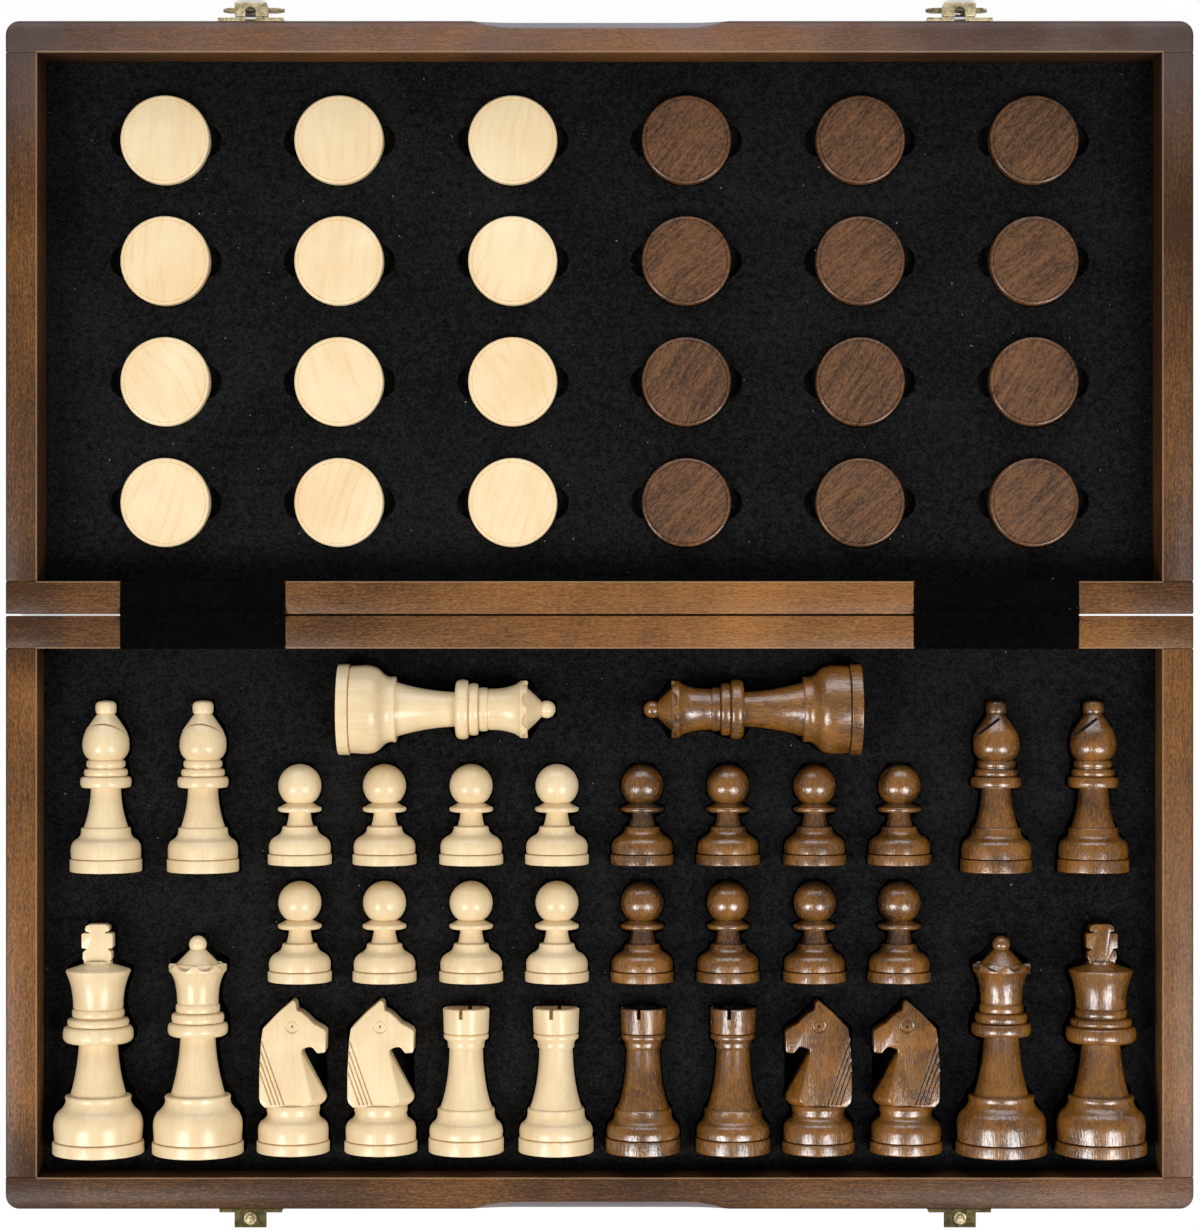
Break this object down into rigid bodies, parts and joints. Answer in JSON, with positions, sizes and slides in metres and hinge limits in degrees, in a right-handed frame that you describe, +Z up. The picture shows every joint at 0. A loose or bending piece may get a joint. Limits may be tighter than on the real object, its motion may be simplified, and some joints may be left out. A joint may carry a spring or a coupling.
{
  "type": "folding chess and checkers board",
  "caption": "Hinged wooden board that folds to a case, with chess men and checkers lying in foam and latches on its rim.",
  "frame": {"origin": "on the ground under the middle of the fold, board opened flat with its insides up", "axes": "+X along the fold towards the dark pieces, +Y across the fold towards the checkers, +Z up"},
  "size_m": [0.381, 0.393, 0.0357],
  "materials": {
    "stained_rail": "satin",
    "plywood": "matte",
    "steel_sheet": "mill",
    "border_veneer": "satin",
    "light_veneer": "satin",
    "dark_veneer": "satin",
    "black_foam": "matte, fuzzy",
    "black_felt": "matte, fuzzy",
    "antique_brass": "antique, dark in the corners",
    "hinge_brass": "satin",
    "spring_steel": "plain",
    "light_wood": "satin lacquer",
    "dark_wood": "gloss lacquer",
    "magnet": "nickel plated"
  },
  "bodies": {
    "base": {"base_front_rail": "stained_rail", "base_spine_rail": "stained_rail", "base_left_rail": "stained_rail", "base_right_rail": "stained_rail", "base_panel": "plywood", "base_steel_sheet": "steel_sheet", "base_border": "border_veneer", "base_light_squares": "light_veneer", "base_dark_squares": "dark_veneer", "base_foam": "black_foam", "base_hinge_screws": "hinge_brass", "base_hinge_covers": "black_felt", "left_hinge_base_leaf": "hinge_brass", "right_hinge_base_leaf": "hinge_brass", "left_hinge_pin": "hinge_brass", "right_hinge_pin": "hinge_brass", "left_catch_plate": "antique_brass", "right_catch_plate": "antique_brass", "catch_studs": "antique_brass", "catch_screws": "antique_brass"},
    "lid": {"lid_front_rail": "stained_rail", "lid_spine_rail": "stained_rail", "lid_left_rail": "stained_rail", "lid_right_rail": "stained_rail", "lid_panel": "plywood", "lid_steel_sheet": "steel_sheet", "lid_border": "border_veneer", "lid_light_squares": "light_veneer", "lid_dark_squares": "dark_veneer", "lid_foam": "black_foam", "lid_hinge_screws": "hinge_brass", "lid_hinge_covers": "black_felt", "left_hinge_lid_leaf": "hinge_brass", "right_hinge_lid_leaf": "hinge_brass", "left_latch_plate": "antique_brass", "right_latch_plate": "antique_brass", "latch_pins": "antique_brass", "latch_screws": "antique_brass", "latch_springs": "spring_steel"},
    "left_lever": {"left_thumb_lever": "antique_brass"},
    "right_lever": {"right_thumb_lever": "antique_brass"},
    "light_men": {"light_rooks": "light_wood", "light_knights": "light_wood", "light_queens": "light_wood", "light_king": "light_wood", "light_bishops": "light_wood", "light_pawns": "light_wood", "light_chess_magnets": "magnet"},
    "dark_men": {"dark_rooks": "dark_wood", "dark_knights": "dark_wood", "dark_queens": "dark_wood", "dark_king": "dark_wood", "dark_bishops": "dark_wood", "dark_pawns": "dark_wood", "dark_chess_magnets": "magnet"},
    "light_draughts": {"light_checkers": "light_wood", "light_checker_magnets": "magnet"},
    "dark_draughts": {"dark_checkers": "dark_wood", "dark_checker_magnets": "magnet"}
  },
  "joints": [
    {"name": "fold", "type": "hinge", "parent": "base", "child": "lid", "pos_m": [0, 0, 0.02715], "axis": [-1, 0, 0], "range_deg": [-180, 0]},
    {"name": "left_latch", "type": "hinge", "parent": "lid", "child": "left_lever", "pos_m": [-0.112, 0.1939, 0.021], "axis": [-1, 0, 0], "range_deg": [0, 10], "stiffness_Nm_per_rad": 0.05},
    {"name": "right_latch", "type": "hinge", "parent": "lid", "child": "right_lever", "pos_m": [0.1156, 0.1939, 0.021], "axis": [-1, 0, 0], "range_deg": [0, 10], "stiffness_Nm_per_rad": 0.05},
    {"name": "light_men_lift", "type": "slide", "parent": "base", "child": "light_men", "axis": [0, 0, 1], "range_m": [0, 0.06]},
    {"name": "dark_men_lift", "type": "slide", "parent": "base", "child": "dark_men", "axis": [0, 0, 1], "range_m": [0, 0.06]},
    {"name": "light_draughts_lift", "type": "slide", "parent": "lid", "child": "light_draughts", "axis": [0, 0, 1], "range_m": [0, 0.03]},
    {"name": "dark_draughts_lift", "type": "slide", "parent": "lid", "child": "dark_draughts", "axis": [0, 0, 1], "range_m": [0, 0.03]}
  ]
}
